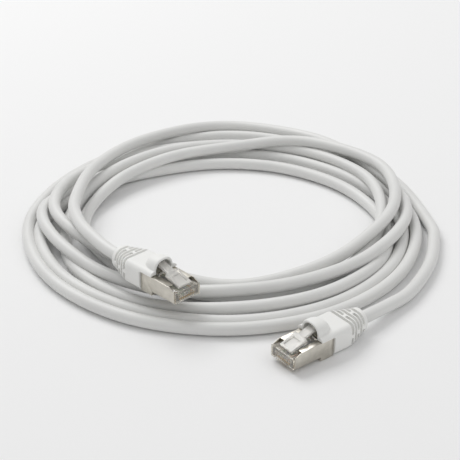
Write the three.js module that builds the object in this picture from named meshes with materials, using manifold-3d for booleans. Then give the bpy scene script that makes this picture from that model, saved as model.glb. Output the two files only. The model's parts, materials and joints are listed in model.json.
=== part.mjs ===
// A shielded ethernet patch cable: one grey cable laid in a loose coil, with the same
// latching 8-way plug and snagless boot on each end. Millimetres, +Z up. The plugs set
// the origin, which lies on the floor under the middle of the box round both of them.

import * as THREE from 'three';
import { mergeVertices } from 'three/addons/utils/BufferGeometryUtils.js';
import Module from 'manifold-3d';

const wasm = await Module();
wasm.setup();

// ---------------------------------------------------------------- driving dimensions

const CABLE = { diameter: 4.8 };
const FAR = 100; // well past any piece of a plug
const GAP = 0.3; // clearance between pieces that touch
const SNUG = 0.22; // clearance between the sleeves crimped over each other
const OVER = 1; // how far a cutting solid passes the face that it cuts

// A plug's own frame: x runs back from the nose, y across, z up from the rear underside.
const PLUG = {
  width: 11.7,
  noseBottom: 1.6,
  noseTop: 5.9,
  noseLip: 0.5,
  stepX: 12.3,
  length: 18.0,
  rearTop: 7.5,
  sheet: 0.3,
};
const SHELL = { chamfer: 2.4, fall: 0.4, topFront: 3.9, notch: 6.8, notchEnd: 13.6, windowFrame: 0.6 };
const CONTACT = { count: 8, pitch: 1.02, thickness: 0.32, slot: 0.62, front: 0.7, length: 3.0, recess: 0.35 };
const WIRE = {
  diameter: 0.8, height: 3.9, frontX: 1.3, straightTo: 13.6,
  bundleRadius: 1.45, spread: 2.4, nest: 0.42, steps: 14,
};
const LATCH = {
  pivotX: 1.4, pivotLift: 0.75, thickness: 1.0, slope: 16.5, width: 6.0,
  rootWidth: 4.8, tailWidth: 3.4, tipWidth: 2.8, shoulderX: 8.6, endX: 15.0,
};
const BOOT = {
  width: 13.2, height: 9.2, plain: 7.6, ribbed: 9.5, endWidth: 8.6, endHeight: 8.8,
  corner: 2.4, wall: 1.2, ringSteps: 5, tightCorner: 0.4,
};
const RIB = { count: 5, slot: 0.95, depth: 1.1, bridge: 1.3 };
// The hood is an arch on spread feet, straight at first and rounded down to the boot behind.
const HOOD = {
  foot: 5.85, edge: 0.6, flare: 1.0, waist: 4.5, lean: 0.3, height: 5.4, shoulder: 0.8, crown: 0.6, wall: 1.1,
  straight: 1.7, length: 7.4, bluntness: 2.3, closeAngle: 86, rings: 9, points: 8,
};
const CRIMP = { length: 6.0, wall: 0.35 };
const SCREEN = { wall: 0.2, length: 5.8 };
const LOAD_BAR = { front: 7.6, length: 3.4, below: 1.05, grip: 0.2, ease: 0.06 };
const MOUTH = { side: 0.8, roof: 0.45 }; // walls of the housing's cable mouth

// Where each plug lies: the middle of its nose at underside height, then its turns.
const PLUG_A = { at: [-14.8, -68.2, 9.9], yaw: 135.5, pitch: 1, roll: 3 };
const PLUG_B = { at: [17.5, -92.2, 0], yaw: 38.0, pitch: 0, roll: 0 };

// The coil is one wound tube. Each row is a turn, laid clockwise from the left: how far the
// turn swings from the coil's middle at every eighth, and how high it rides there.
const COIL = { middle: [0, 2], eighths: 8, turns: 6.5, steps: 24, sides: 6, finer: 3 };
const SWING = [
  [61.5, 68, 84.3, 74, 70.5, 59.5, 57, 62.5],
  [74.6, 64.5, 61.5, 63, 68.5, 69.9, 71, 73.6],
  [76, 57, 52, 54.5, 61, 65.6, 63.3, 67.5],
  [65, 62.5, 64.5, 67, 61, 56.4, 54.8, 52.5],
  [58, 55, 58, 73.8, 65.5, 50, 47, 51],
  [70.2, 73, 69, 69.4, 74.3, 74.8, 75.2, 77.8],
  [80.2, 78, 81, 78.6, 79.5],
];
// Height is counted in cable diameters above the floor layer.
const LAYER = [
  [2.75, 1.9, 0, 0.62, 1, 1.1, 1, 0],
  [1, 0, 0, 0, 0, 0, 0, 0],
  [0, 0, 0, 0, 0, 0.9, 0.5, 0],
  [0, 0.95, 0.9, 0.8, 1, 0.2, 0, 0],
  [0, 1, 1.1, 1.45, 1.8, 0.6, 0, 0.5],
  [1.1, 0, 0, 0, 0, 0, 0, 0],
  [0, 0, 0, 0, 0],
];
const SETTLE = { rounds: 900, clearance: 1.4, ease: 0.15, still: 400 };
const LEAST_GAP = 0.4;

// The free stretches between the coil and each plug, as chosen points.
const LEAD_A_POINTS = [[-49.5, -31, 16], [-57.5, -17.5, 16.8]];
const LEAD_B_POINTS = [[79.8, -14, 2.4], [75.4, -32, 2.4], [66, -49.5, 2.6], [56.4, -60, 3.6]];
const LEAD = { sides: 10, step: 2.5 };

const COLOURS = {
  jacket: 0xcfcfcb,
  boot: 0xe6e6e2,
  clear: 0xdfe3ea,
  shield: 0xb3ada0,
  gold: 0xd6b25a,
  braid: 0x9c9a94,
  bar: 0xe9e9f2,
};
const WIRE_COLOURS = [
  ['white_orange', 0xe8c9a8],
  ['orange', 0xd87a2c],
  ['white_green', 0xbfdcc0],
  ['blue', 0x3a62b8],
  ['white_blue', 0xb9c8e6],
  ['green', 0x3d8f4a],
  ['white_brown', 0xcdb8a6],
  ['brown', 0x7a4f33],
];

// ---------------------------------------------------------------- derived dimensions

const radians = THREE.MathUtils.degToRad;
const cableRadius = CABLE.diameter / 2;
const mouthTop = PLUG.rearTop - PLUG.sheet - GAP - MOUTH.roof;
// The wires' bundle hangs just under the roof of the housing's mouth, and the cable follows it.
const cableAxis = mouthTop - GAP / 2 - WIRE.diameter / 2 - WIRE.bundleRadius;
const insideWidth = PLUG.width - 2 * (PLUG.sheet + GAP);
const rearFace = PLUG.length + GAP; // front face of the boot
const plainEnd = rearFace + BOOT.plain;
const bootEnd = plainEnd + BOOT.ribbed;
const jacketFront = rearFace + GAP;
const cavityEnd = jacketFront + CRIMP.length + GAP;
const tongueBottom = PLUG.rearTop + GAP;
const hoodEnd = PLUG.stepX + HOOD.length;
const screenInner = cableRadius + SNUG;
const crimpInner = screenInner + SCREEN.wall + SNUG;
const crimpOuter = crimpInner + CRIMP.wall;
const bootCavity = crimpOuter + SNUG;
const bootBore = cableRadius + GAP;
const leadStart = bootEnd + GAP;
const latchPivotZ = PLUG.noseTop + LATCH.pivotLift;

// ---------------------------------------------------------------- solids

/** A THREE geometry as a manifold solid. */
function solid(geometry) {
  const bare = geometry.clone();
  bare.deleteAttribute('normal');
  bare.deleteAttribute('uv');
  const merged = mergeVertices(bare, 1e-5);
  return new wasm.Manifold(new wasm.Mesh({
    numProp: 3,
    vertProperties: new Float32Array(merged.attributes.position.array),
    triVerts: new Uint32Array(merged.index.array),
  }));
}

/** A manifold solid as a THREE geometry. */
function geometryOf(manifold) {
  const mesh = manifold.getMesh();
  const geometry = new THREE.BufferGeometry();
  geometry.setAttribute('position', new THREE.BufferAttribute(mesh.vertProperties, 3));
  geometry.setIndex(new THREE.BufferAttribute(mesh.triVerts, 1));
  geometry.computeVertexNormals();
  return geometry;
}

const cut = (base, ...tools) => tools.reduce((kept, tool) => kept.subtract(tool), base);
const join = (base, ...others) => others.reduce((kept, other) => kept.add(other), base);

/** A box between two corners. */
function block([x0, y0, z0], [x1, y1, z1]) {
  const box = new THREE.BoxGeometry(x1 - x0, y1 - y0, z1 - z0);
  return solid(box.translate((x0 + x1) / 2, (y0 + y1) / 2, (z0 + z1) / 2));
}

/** A side profile of [x, z] points carried across the plug. */
function acrossPlug(profile, width) {
  const shape = new THREE.Shape(profile.map(([x, z]) => new THREE.Vector2(x, z)));
  const geometry = new THREE.ExtrudeGeometry(shape, { depth: width, bevelEnabled: false });
  return solid(geometry.rotateX(Math.PI / 2).translate(0, width / 2, 0));
}

/** A cylinder along the plug from x0 to x1 about the height z. */
function alongPlug(radius, x0, x1, z, sides = 24) {
  const geometry = new THREE.CylinderGeometry(radius, radius, x1 - x0, sides);
  return solid(geometry.rotateZ(Math.PI / 2).translate((x0 + x1) / 2, 0, z));
}

/** A sleeve along the plug. */
function sleeve(inner, outer, x0, x1, z) {
  return cut(alongPlug(outer, x0, x1, z), alongPlug(inner, x0 - OVER, x1 + OVER, z));
}

/** Rings of points joined into a closed skin, with a fan over each end. */
function skin(rings) {
  const sides = rings[0].length;
  const points = rings.flat();
  const faces = [];
  for (let ring = 0; ring + 1 < rings.length; ring += 1) {
    for (let side = 0; side < sides; side += 1) {
      const next = (side + 1) % sides;
      const here = ring * sides;
      const there = here + sides;
      faces.push(here + side, here + next, there + next);
      faces.push(here + side, there + next, there + side);
    }
  }
  const last = (rings.length - 1) * sides;
  for (let side = 1; side + 1 < sides; side += 1) {
    faces.push(0, side + 1, side);
    faces.push(last, last + side, last + side + 1);
  }
  const geometry = new THREE.BufferGeometry();
  const flat = new Float32Array(points.flatMap((point) => point.toArray()));
  geometry.setAttribute('position', new THREE.BufferAttribute(flat, 3));
  geometry.setIndex(faces);
  geometry.computeVertexNormals();
  return geometry;
}

/** A named piece with its own material. */
function piece(name, geometry, colour, roughness, metalness = 0) {
  const material = new THREE.MeshStandardMaterial({ color: colour, roughness, metalness });
  const mesh = new THREE.Mesh(geometry, material);
  mesh.name = name;
  return mesh;
}

// ---------------------------------------------------------------- the plug's pieces

const wireY = (index) => (index - (CONTACT.count - 1) / 2) * CONTACT.pitch;

/** The clear body: nose lip, contact slots, wire channel and the wider cable mouth. */
function housing() {
  const inset = PLUG.sheet + GAP;
  const half = insideWidth / 2;
  const core = acrossPlug([
    [PLUG.noseLip, PLUG.noseBottom + inset],
    [PLUG.stepX + inset, PLUG.noseBottom + inset],
    [PLUG.stepX + inset, inset],
    [PLUG.length, inset],
    [PLUG.length, PLUG.rearTop - inset],
    [PLUG.stepX, PLUG.rearTop - inset],
    [PLUG.stepX, PLUG.noseTop],
    [PLUG.noseLip, PLUG.noseTop],
  ], insideWidth);
  const lip = block([0, -PLUG.width / 2, PLUG.noseBottom], [PLUG.noseLip, PLUG.width / 2, PLUG.noseTop]);
  const wireHalf = wireY(CONTACT.count - 1) + WIRE.diameter / 2 + GAP;
  const channelBottom = WIRE.height - LOAD_BAR.below - GAP;
  const channelTop = WIRE.height + WIRE.diameter / 2 + GAP / 2;
  const channel = block([WIRE.frontX - GAP, -wireHalf, WIRE.height - WIRE.diameter / 2 - GAP / 2],
    [PLUG.length + OVER, wireHalf, channelTop]);
  const barPocket = block([LOAD_BAR.front - GAP, -wireHalf, channelBottom],
    [PLUG.length + OVER, wireHalf, channelTop]);
  const mouth = block([PLUG.stepX + 2 * inset, -half + MOUTH.side, 2 * inset],
    [PLUG.length + OVER, half - MOUTH.side, mouthTop]);
  let body = cut(join(core, lip), channel, barPocket, mouth);
  for (let index = 0; index < CONTACT.count; index += 1) {
    const y = wireY(index);
    body = cut(body, block([-OVER, y - CONTACT.slot / 2, PLUG.noseBottom - OVER],
      [CONTACT.front + CONTACT.length + GAP, y + CONTACT.slot / 2, WIRE.height - WIRE.diameter / 2]));
  }
  return geometryOf(body);
}

/** The sheet-metal shell: both sides, the stepped underside and the top over the rear. */
function shield() {
  const front = PLUG.noseLip + GAP;
  const shell = (inset, x0, x1) => acrossPlug([
    [x0, PLUG.noseBottom + inset],
    [PLUG.stepX + inset, PLUG.noseBottom + inset],
    [PLUG.stepX + inset, inset],
    [x1, inset],
    [x1, PLUG.rearTop - inset],
    [x0 + SHELL.chamfer, PLUG.rearTop - SHELL.fall - inset],
    [x0, PLUG.noseTop - inset],
  ], PLUG.width - 2 * inset);
  const insideHalf = PLUG.width / 2 - PLUG.sheet;
  const outer = shell(0, front, PLUG.length);
  const inner = shell(PLUG.sheet, front - OVER, PLUG.length + OVER);
  const openTop = block([0, -insideHalf, PLUG.noseTop - OVER], [SHELL.topFront, insideHalf, FAR]);
  const latchNotch = block([0, -SHELL.notch / 2, PLUG.noseTop], [SHELL.notchEnd, SHELL.notch / 2, FAR]);
  const contactWindow = block([0, -insideHalf + SHELL.windowFrame, -OVER],
    [CONTACT.front + CONTACT.length + 3 * GAP, insideHalf - SHELL.windowFrame, PLUG.noseBottom + OVER]);
  return geometryOf(cut(outer, inner, openTop, latchNotch, contactWindow));
}

/** The latch lever: a flexing root on the nose, catch shoulders and a narrow thumb tail. */
function latch() {
  const run = LATCH.endX - LATCH.pivotX;
  const shoulder = LATCH.shoulderX - LATCH.pivotX;
  const lever = new THREE.Shape();
  lever.moveTo(0, -LATCH.rootWidth / 2);
  lever.lineTo(shoulder, -LATCH.width / 2);
  lever.lineTo(shoulder, -LATCH.tailWidth / 2);
  lever.lineTo(run, -LATCH.tipWidth / 2);
  lever.lineTo(run, LATCH.tipWidth / 2);
  lever.lineTo(shoulder, LATCH.tailWidth / 2);
  lever.lineTo(shoulder, LATCH.width / 2);
  lever.lineTo(0, LATCH.rootWidth / 2);
  const geometry = new THREE.ExtrudeGeometry(lever, { depth: LATCH.thickness, bevelEnabled: false });
  geometry.translate(0, 0, -LATCH.thickness / 2).rotateY(-radians(LATCH.slope));
  return geometry.translate(LATCH.pivotX, 0, latchPivotZ);
}

/** A gold blade standing in its slot under a wire. */
function contact(index) {
  const y = wireY(index);
  return geometryOf(block(
    [CONTACT.front, y - CONTACT.thickness / 2, PLUG.noseBottom + CONTACT.recess],
    [CONTACT.front + CONTACT.length, y + CONTACT.thickness / 2, WIRE.height - WIRE.diameter / 2 - GAP / 3],
  ));
}

/** An insulated wire from over its contact back to its place in the cable's bundle. */
function wire(index) {
  const pair = Math.floor(index / 2) - 1.5;
  const across = Math.sign(pair) * (Math.abs(pair) > 1 ? WIRE.spread : WIRE.nest);
  const angle = Math.atan2(index % 2 ? -1 : 1, across);
  const end = new THREE.Vector3(rearFace, WIRE.bundleRadius * Math.cos(angle),
    cableAxis + WIRE.bundleRadius * Math.sin(angle));
  const run = new THREE.CatmullRomCurve3([
    new THREE.Vector3(WIRE.frontX, wireY(index), WIRE.height),
    new THREE.Vector3(WIRE.straightTo - WIRE.diameter, wireY(index), WIRE.height),
    new THREE.Vector3(WIRE.straightTo, wireY(index), WIRE.height),
    new THREE.Vector3((WIRE.straightTo + end.x) / 2, (wireY(index) + end.y) / 2, end.z),
    end,
  ], false, 'centripetal');
  const section = new THREE.Shape();
  section.absarc(0, 0, WIRE.diameter / 2, 0, 2 * Math.PI);
  return new THREE.ExtrudeGeometry(section, {
    steps: WIRE.steps, curveSegments: 3, bevelEnabled: false, extrudePath: run,
  });
}

/** The comb that lines the wires up: a bar with a groove under each. */
function loadBar() {
  const half = wireY(CONTACT.count - 1) + CONTACT.pitch / 2 - GAP / 2;
  let bar = block([LOAD_BAR.front, -half, WIRE.height - LOAD_BAR.below],
    [LOAD_BAR.front + LOAD_BAR.length, half, WIRE.height - LOAD_BAR.grip]);
  const groove = WIRE.diameter / 2 + LOAD_BAR.ease;
  for (let index = 0; index < CONTACT.count; index += 1) {
    const [front, back] = [LOAD_BAR.front - OVER, LOAD_BAR.front + LOAD_BAR.length + OVER];
    bar = cut(bar, alongPlug(groove, front, back, WIRE.height, 16).translate(0, wireY(index), 0));
  }
  return geometryOf(bar);
}

/** A ring of the boot's rounded section, standing at x. */
function bootRing(x, width, height, corner, shrink = 0) {
  const ring = [];
  const radius = Math.max(corner - shrink, BOOT.tightCorner);
  const halfY = width / 2 - shrink - radius;
  const halfZ = height / 2 - shrink - radius;
  for (let quarter = 0; quarter < 4; quarter += 1) {
    const signY = quarter === 0 || quarter === 3 ? 1 : -1;
    const signZ = quarter < 2 ? 1 : -1;
    for (let step = 0; step <= BOOT.ringSteps; step += 1) {
      const angle = (quarter + step / BOOT.ringSteps) * Math.PI / 2;
      ring.push(new THREE.Vector3(x, signY * halfY + radius * Math.cos(angle),
        BOOT.height / 2 + signZ * halfZ + radius * Math.sin(angle)));
    }
  }
  return ring;
}

/** The boot's tapering body, or its smaller core when shrunk. */
function bootBody(x0, x1, shrink) {
  const taper = (x) => THREE.MathUtils.clamp((x - plainEnd) / (bootEnd - plainEnd), 0, 1);
  const ringAt = (x) => {
    const part = taper(x);
    const width = THREE.MathUtils.lerp(BOOT.width, BOOT.endWidth, part);
    const height = THREE.MathUtils.lerp(BOOT.height, BOOT.endHeight, part);
    const corner = THREE.MathUtils.lerp(BOOT.corner, BOOT.endHeight / 2 - GAP, part);
    return bootRing(x, width, height, corner, shrink);
  };
  const stations = [x0, plainEnd, (plainEnd + bootEnd) / 2, x1];
  return solid(skin(stations.map(ringAt)));
}

/** A closed ring of the hood's arch at x: spread feet, leaning sides and a round top. */
function archRing(x, foot, waist, height, scale) {
  const half = new THREE.Path();
  half.moveTo(foot, 0);
  half.lineTo(foot, HOOD.edge);
  half.quadraticCurveTo(waist, HOOD.edge, waist, HOOD.edge + HOOD.flare);
  half.bezierCurveTo(waist - HOOD.lean, HOOD.shoulder * height, HOOD.crown * waist, height, 0, height);
  const right = half.getPoints(HOOD.points).map((point) => [point.x * scale, point.y * scale]);
  const left = right.slice(0, -1).reverse().map(([y, z]) => [-y, z]);
  return [[0, 0], ...right, ...left].map(([y, z]) => new THREE.Vector3(x, y, tongueBottom + z));
}

/** The arch carried back from the front: straight at first, then closing to a blunt end. */
function vault(front, foot, waist, height, end) {
  const rings = [archRing(front, foot, waist, height, 1)];
  const straightEnd = PLUG.stepX + HOOD.straight;
  for (let ring = 0; ring <= HOOD.rings; ring += 1) {
    const turn = radians(HOOD.closeAngle) * ring / HOOD.rings;
    const part = Math.sin(turn) ** (2 / HOOD.bluntness);
    const scale = Math.cos(turn) ** (2 / HOOD.bluntness);
    rings.push(archRing(straightEnd + part * (end - straightEnd), foot, waist, height, scale));
  }
  return solid(skin(rings));
}

/** The moulded boot: plain grip, ribbed tail, tongue over the shell and the latch's hood. */
function boot() {
  let body = bootBody(rearFace, bootEnd, 0);
  const core = bootBody(rearFace - OVER, bootEnd + OVER, RIB.depth);
  const pitch = (bootEnd - BOOT.wall - plainEnd) / RIB.count;
  for (let rib = 0; rib < RIB.count; rib += 1) {
    const x = plainEnd + rib * pitch;
    const slab = block([x, -FAR, -FAR], [x + RIB.slot, FAR, FAR]);
    const [front, back] = [x - OVER, x + RIB.slot + OVER];
    const half = RIB.bridge / 2;
    const sideBridge = block([front, -FAR, cableAxis - half], [back, FAR, cableAxis + half]);
    const topBridge = block([front, -half, -FAR], [back, half, FAR]);
    body = cut(body, cut(slab, core, rib % 2 ? topBridge : sideBridge));
  }
  const hoodWaist = HOOD.waist - HOOD.wall;
  const hood = vault(PLUG.stepX, HOOD.foot, HOOD.waist, HOOD.height, hoodEnd);
  const room = vault(PLUG.stepX - OVER, hoodWaist, hoodWaist, HOOD.height - HOOD.wall, rearFace);
  const overShell = [PLUG.stepX, rearFace + OVER].map((x) => bootRing(x, BOOT.width, BOOT.height, BOOT.corner));
  const rail = cut(solid(skin(overShell)), block([0, -FAR, -FAR], [FAR, FAR, tongueBottom]));
  const cavity = alongPlug(bootCavity, 0, cavityEnd, cableAxis);
  const bore = alongPlug(bootBore, 0, bootEnd + OVER, cableAxis);
  return geometryOf(cut(join(body, rail, hood), room, cavity, bore));
}

/** Every piece of one plug, in the plug's own frame. */
function plug(side) {
  const group = new THREE.Group();
  const name = (label) => `${label}_${side}`;
  group.add(piece(name('housing'), housing(), COLOURS.clear, 0.15));
  group.add(piece(name('latch'), latch(), COLOURS.clear, 0.15));
  group.add(piece(name('shield'), shield(), COLOURS.shield, 0.3, 1));
  group.add(piece(name('load_bar'), loadBar(), COLOURS.bar, 0.3));
  for (let index = 0; index < CONTACT.count; index += 1) {
    group.add(piece(name(`contact_${index + 1}`), contact(index), COLOURS.gold, 0.25, 1));
    const [label, colour] = WIRE_COLOURS[index];
    group.add(piece(name(`wire_${label}`), wire(index), colour, 0.45));
  }
  const jacket = alongPlug(cableRadius, jacketFront, bootEnd, cableAxis);
  const screenEnd = jacketFront + SCREEN.length;
  const screen = sleeve(screenInner, screenInner + SCREEN.wall, jacketFront, screenEnd, cableAxis);
  const crimp = sleeve(crimpInner, crimpOuter, jacketFront, jacketFront + CRIMP.length, cableAxis);
  group.add(piece(name('jacket_end'), geometryOf(jacket), COLOURS.jacket, 0.45));
  group.add(piece(name('screen_braid'), geometryOf(screen), COLOURS.braid, 0.4, 1));
  group.add(piece(name('crimp_sleeve'), geometryOf(crimp), COLOURS.shield, 0.35, 1));
  group.add(piece(name('boot'), boot(), COLOURS.boot, 0.5));
  return group;
}

/** Places a plug's group at its resting pose. */
function placed(group, { at, yaw, pitch, roll }) {
  group.position.set(...at);
  group.rotation.set(radians(roll), radians(pitch), radians(yaw), 'ZYX');
  group.updateMatrixWorld(true);
  return group;
}

// ---------------------------------------------------------------- the cable

const floorAxis = cableRadius * Math.cos(Math.PI / COIL.sides); // a flat of the tube on the floor

/** A smooth value through an evenly spaced list, at a fractional place in it. */
function through(values, place) {
  const index = Math.min(Math.floor(place), values.length - 2);
  const part = place - index;
  const [b, c] = [values[index], values[index + 1]];
  const a = index > 0 ? values[index - 1] : 2 * b - c;
  const d = index + 2 < values.length ? values[index + 2] : 2 * c - b;
  const bend = (3 * (b - c) + d - a) * part ** 3 + (2 * a - 5 * b + 4 * c - d) * part ** 2;
  return b + ((c - a) * part + bend) / 2;
}

/** The turns as laid: points round the coil's middle at the swing and height of each eighth. */
function laidTurns() {
  const swings = SWING.flat();
  const layers = LAYER.flat();
  const count = COIL.turns * COIL.steps * COIL.finer;
  const points = [];
  for (let index = 0; index <= count; index += 1) {
    const place = index * COIL.eighths / (COIL.steps * COIL.finer);
    const angle = Math.PI - place * 2 * Math.PI / COIL.eighths;
    const swing = through(swings, place);
    points.push(new THREE.Vector3(
      COIL.middle[0] + swing * Math.cos(angle),
      COIL.middle[1] + swing * Math.sin(angle),
      floorAxis + Math.max(through(layers, place), 0) * CABLE.diameter,
    ));
  }
  return points;
}

/** Eases the turns apart until none lies closer to another than a diameter and a clearance. */
function settle(laid) {
  const points = laid.map((point) => point.clone());
  const need = CABLE.diameter + SETTLE.clearance;
  const skip = 2 * COIL.finer + 3;
  const between = new THREE.Vector3();
  for (let round = 0; round < SETTLE.rounds; round += 1) {
    const shifts = points.map(() => new THREE.Vector3());
    const counts = points.map(() => 0);
    for (let i = 0; i < points.length; i += 1) {
      for (let j = i + skip; j < points.length; j += 1) {
        between.subVectors(points[i], points[j]);
        const apart = between.length();
        if (apart >= need) continue;
        between.multiplyScalar((need - apart) / (2 * apart));
        shifts[i].add(between);
        shifts[j].sub(between);
        counts[i] += 1;
        counts[j] += 1;
      }
    }
    const ease = round < SETTLE.rounds - SETTLE.still ? SETTLE.ease : 0;
    const moved = points.map((point, i) => point.clone()
      .addScaledVector(shifts[i], 1 / Math.max(counts[i], 1)).sub(laid[i]));
    points.forEach((point, i) => {
      const inner = i > 0 && i + 1 < points.length;
      const blend = inner ? moved[i - 1].clone().add(moved[i + 1]).addScaledVector(moved[i], -2) : null;
      point.copy(laid[i]).add(moved[i]);
      if (blend) point.addScaledVector(blend, ease);
      point.z = Math.max(point.z, floorAxis);
    });
  }
  return points;
}

/** The least gap between the wound tube and itself, measured on points along its runs. */
function leastGap(corners) {
  const parts = 6;
  const points = [];
  for (let index = 0; index + 1 < corners.length; index += 1) {
    for (let part = 0; part < parts; part += 1) {
      points.push(corners[index].clone().lerp(corners[index + 1], part / parts));
    }
  }
  let least = Infinity;
  for (let i = 0; i < points.length; i += 1) {
    for (let j = i + 3 * parts; j < points.length; j += 1) {
      least = Math.min(least, points[i].distanceTo(points[j]) - CABLE.diameter);
    }
  }
  return least;
}

/** The wound tube's corner points, with a straight run of one diameter at each end. */
function coilRoute() {
  const settled = settle(laidTurns());
  const corners = settled.filter((_, index) => index % COIL.finer === 0);
  const lead = corners[0].clone().sub(corners[1]).setLength(CABLE.diameter).add(corners[0]);
  const last = corners.length - 1;
  const tail = corners[last].clone().sub(corners[last - 1]).setLength(CABLE.diameter).add(corners[last]);
  return [lead, ...corners, tail];
}

/** A six-sided tube along corner points, one flat kept level underneath. */
function woundTube(corners) {
  const up = new THREE.Vector3(0, 0, 1);
  const rings = corners.map((corner, index) => {
    const before = corners[Math.max(index - 1, 0)];
    const after = corners[Math.min(index + 1, corners.length - 1)];
    const along = after.clone().sub(before).normalize();
    const side = new THREE.Vector3().crossVectors(up, along).normalize();
    const over = new THREE.Vector3().crossVectors(along, side);
    const ring = [];
    for (let step = 0; step < COIL.sides; step += 1) {
      const angle = step * 2 * Math.PI / COIL.sides;
      ring.push(corner.clone()
        .addScaledVector(side, cableRadius * Math.cos(angle))
        .addScaledVector(over, cableRadius * Math.sin(angle)));
    }
    return ring;
  });
  return skin(rings);
}

/** A round free stretch through its points. */
function leadTube(points) {
  const run = new THREE.CatmullRomCurve3(points, false, 'centripetal');
  const section = new THREE.Shape();
  section.absarc(0, 0, cableRadius, 0, 2 * Math.PI);
  const steps = Math.ceil(run.getLength() / (LEAD.step * CABLE.diameter));
  return {
    length: run.getLength(),
    geometry: new THREE.ExtrudeGeometry(section, {
      steps, curveSegments: LEAD.sides / 2, bevelEnabled: false, extrudePath: run,
    }),
  };
}

/** From a plug's boot through the chosen points to an end of the coil, square to both. */
function leadPoints(plugGroup, chosen, coilEnd, coilNext) {
  const out = (distance) => plugGroup.localToWorld(new THREE.Vector3(leadStart + distance, 0, cableAxis));
  const away = coilEnd.clone().sub(coilNext).normalize();
  const near = (distance) => coilEnd.clone().addScaledVector(away, distance);
  return [
    out(0), out(CABLE.diameter),
    ...chosen.map((point) => new THREE.Vector3(...point)),
    near(GAP + CABLE.diameter), near(GAP),
  ];
}

// ---------------------------------------------------------------- the assembly

const plugA = placed(plug('a'), PLUG_A);
const plugB = placed(plug('b'), PLUG_B);
const corners = coilRoute();
const gap = leastGap(corners);
const lastCorner = corners.length - 1;
const leadA = leadTube(leadPoints(plugA, LEAD_A_POINTS, corners[0], corners[1]));
const pointsB = LEAD_B_POINTS.slice().reverse();
const leadB = leadTube(leadPoints(plugB, pointsB, corners[lastCorner], corners[lastCorner - 1]));

let coilLength = 0;
for (let index = 0; index + 1 < corners.length; index += 1) {
  coilLength += corners[index].distanceTo(corners[index + 1]);
}
console.log(`least gap of the coil to itself: ${gap.toFixed(2)} mm (over ${LEAST_GAP})`);
console.log(`cable: lead a ${leadA.length.toFixed(0)}, coil ${coilLength.toFixed(0)}, `
  + `lead b ${leadB.length.toFixed(0)} mm`);

const cable = new THREE.Group();
cable.add(piece('cable_lead_a', leadA.geometry, COLOURS.jacket, 0.45));
cable.add(piece('cable_coil', woundTube(corners), COLOURS.jacket, 0.45));
cable.add(piece('cable_lead_b', leadB.geometry, COLOURS.jacket, 0.45));

// The origin lies under the middle of the box round both plugs.
const box = new THREE.Box3().setFromObject(plugA, true).union(new THREE.Box3().setFromObject(plugB, true));
const assembly = new THREE.Group();
assembly.add(plugA, plugB, cable);
assembly.position.set(-(box.min.x + box.max.x) / 2, -(box.min.y + box.max.y) / 2, -box.min.z);

export default assembly;
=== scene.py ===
"""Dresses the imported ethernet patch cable: a loose grey coil with a shielded plug on each end.

The cable is worked out again here as one piece from end to end, from the same turns as the
part's source, and each plug's visible pieces are rebuilt with their real edges and finishes.
"""

import json
import logging
import math
from dataclasses import dataclass
from enum import Enum
from typing import ClassVar, Sequence

import bmesh
import bpy
import numpy as np
from mathutils import Matrix, Vector


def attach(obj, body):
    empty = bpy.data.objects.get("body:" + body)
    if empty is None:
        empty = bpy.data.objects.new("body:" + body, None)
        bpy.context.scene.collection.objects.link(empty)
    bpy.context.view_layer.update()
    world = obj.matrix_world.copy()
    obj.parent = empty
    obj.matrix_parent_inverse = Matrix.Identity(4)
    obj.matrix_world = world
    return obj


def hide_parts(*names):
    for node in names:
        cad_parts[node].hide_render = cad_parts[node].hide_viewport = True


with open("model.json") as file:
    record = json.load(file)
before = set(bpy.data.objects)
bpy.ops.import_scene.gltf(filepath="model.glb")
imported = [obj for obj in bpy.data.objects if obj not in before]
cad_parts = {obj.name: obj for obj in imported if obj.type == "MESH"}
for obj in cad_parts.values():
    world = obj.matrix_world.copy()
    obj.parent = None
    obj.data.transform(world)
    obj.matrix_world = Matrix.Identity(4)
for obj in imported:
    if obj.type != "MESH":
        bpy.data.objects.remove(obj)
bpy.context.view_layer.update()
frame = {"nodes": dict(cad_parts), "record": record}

log = logging.getLogger("patch_cable")

MM = 0.001
# In millimetres: farther than any piece reaches across a plug, and how far a form runs past the
# face where it cuts or joins another.
FAR = 20.0
PAST = 1.0

Flat = tuple[float, float]
Point = tuple[float, float, float]
Colour = tuple[float, float, float]


# -------------------- sizes


@dataclass(frozen=True)
class CableSizes:
    """The cable's sizes in millimetres."""

    diameter: float = 4.8
    facets: int = 8
    per_turn: int = 72
    laid_every: int = 6
    turns: float = 6.5
    middle: Flat = (0.0, 2.0)
    straight: float = 5.0


@dataclass(frozen=True)
class Settling:
    """How the laid strands are eased apart, in millimetres, points, rounds and shares."""

    spacing: float = 5.8
    clearance: float = 0.06
    rounds: int = 420
    last_rounds: int = 120
    neighbours: int = 4
    held_share: float = 0.6
    freed_over: float = 6.0
    push: float = 0.5
    sink: float = 0.006
    smoothing: float = 0.2
    last_smoothing: float = 0.06


@dataclass(frozen=True)
class PlugSizes:
    """A plug's sizes in its own frame: x back from the nose, y across, z up, millimetres."""

    width: float = 11.7
    nose_bottom: float = 1.6
    nose_top: float = 5.9
    nose_lip: float = 0.5
    face_mount: float = 5.4
    step_x: float = 12.3
    length: float = 18.0
    rear_top: float = 7.5
    sheet: float = 0.3
    gap: float = 0.3
    contact_count: int = 8
    contact_pitch: float = 1.02
    wire_height: float = 3.9
    cable_axis: float = 4.45

    @property
    def outer_contact(self) -> float:
        """How far the outermost contacts stand from the plug's middle."""
        return (self.contact_count - 1) / 2 * self.contact_pitch


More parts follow.
